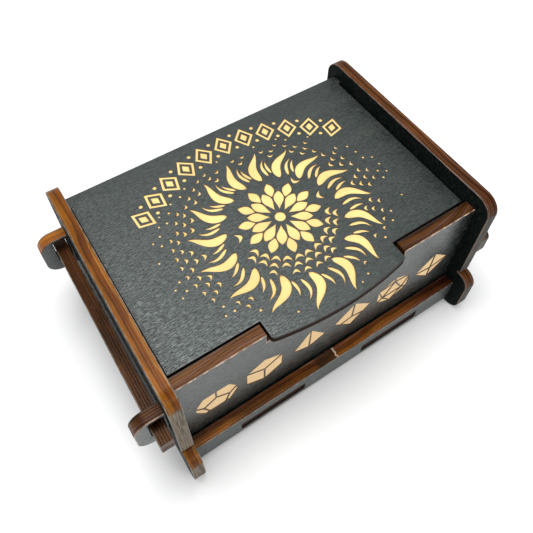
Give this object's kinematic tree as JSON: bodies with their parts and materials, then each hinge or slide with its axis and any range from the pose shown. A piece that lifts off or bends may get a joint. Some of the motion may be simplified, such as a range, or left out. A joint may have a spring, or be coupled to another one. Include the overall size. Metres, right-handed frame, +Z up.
{
  "type": "card deck box",
  "caption": "Black-stained plywood card deck box: knock-down slotted frame, hinged lid with a curved tongue, and two sliding locking keys at the ends.",
  "frame": {"origin": "on the ground, under the middle of the box's bounding box", "axes": "+X along the box's length towards the right end plate, +Y from the front to the back, +Z up"},
  "size_m": [0.195, 0.134, 0.085],
  "materials": {
    "stained_ply": "black stain under a thin satin coat, with dark brown laser-cut edges",
    "engraved_ply": "black stain under a thin satin coat, engraved through to pale wood"
  },
  "bodies": {
    "frame": {"left_end_plate": "stained_ply", "right_end_plate": "stained_ply", "front_panel": "engraved_ply", "back_panel": "stained_ply", "front_rail": "stained_ply", "back_rail": "stained_ply", "floor_panel": "stained_ply"},
    "lid": {"lid": "engraved_ply"},
    "left_key": {"left_locking_key": "stained_ply"},
    "right_key": {"right_locking_key": "stained_ply"}
  },
  "joints": [
    {"name": "lid_hinge", "type": "hinge", "parent": "frame", "child": "lid", "pos_m": [0, 0.052, 0.0736], "axis": [-1, 0, 0], "range_deg": [0, 220]},
    {"name": "left_key_slide", "type": "slide", "parent": "frame", "child": "left_key", "axis": [0, 1, 0], "range_m": [0, 0.1]},
    {"name": "right_key_slide", "type": "slide", "parent": "frame", "child": "right_key", "axis": [0, -1, 0], "range_m": [0, 0.1]}
  ]
}
